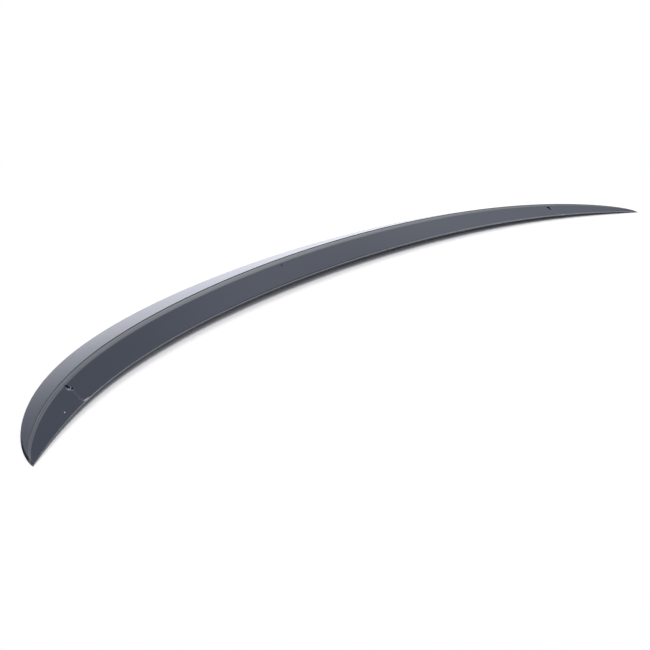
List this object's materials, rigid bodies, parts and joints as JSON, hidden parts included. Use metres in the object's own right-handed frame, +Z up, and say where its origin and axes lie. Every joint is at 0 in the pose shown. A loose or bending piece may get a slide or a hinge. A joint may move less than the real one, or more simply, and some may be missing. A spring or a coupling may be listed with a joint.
{
  "type": "car rear spoiler",
  "caption": "Crescent lip spoiler for a car's boot lid, one moulded piece in grey primer, with a stepped ridge lip, slots and a vent hole in its front face.",
  "frame": {"origin": "middle of the plan box, at the height of the floor that the spoiler lies on", "axes": "+X from tip to tip, +Y from the tips towards the back edge, +Z up as it lies in the picture"},
  "size_m": [1.1996, 0.2848, 0.0255],
  "materials": {
    "primer": "satin grey primer on moulded plastic"
  },
  "bodies": {
    "root": {"spoiler": "primer"}
  },
  "joints": []
}
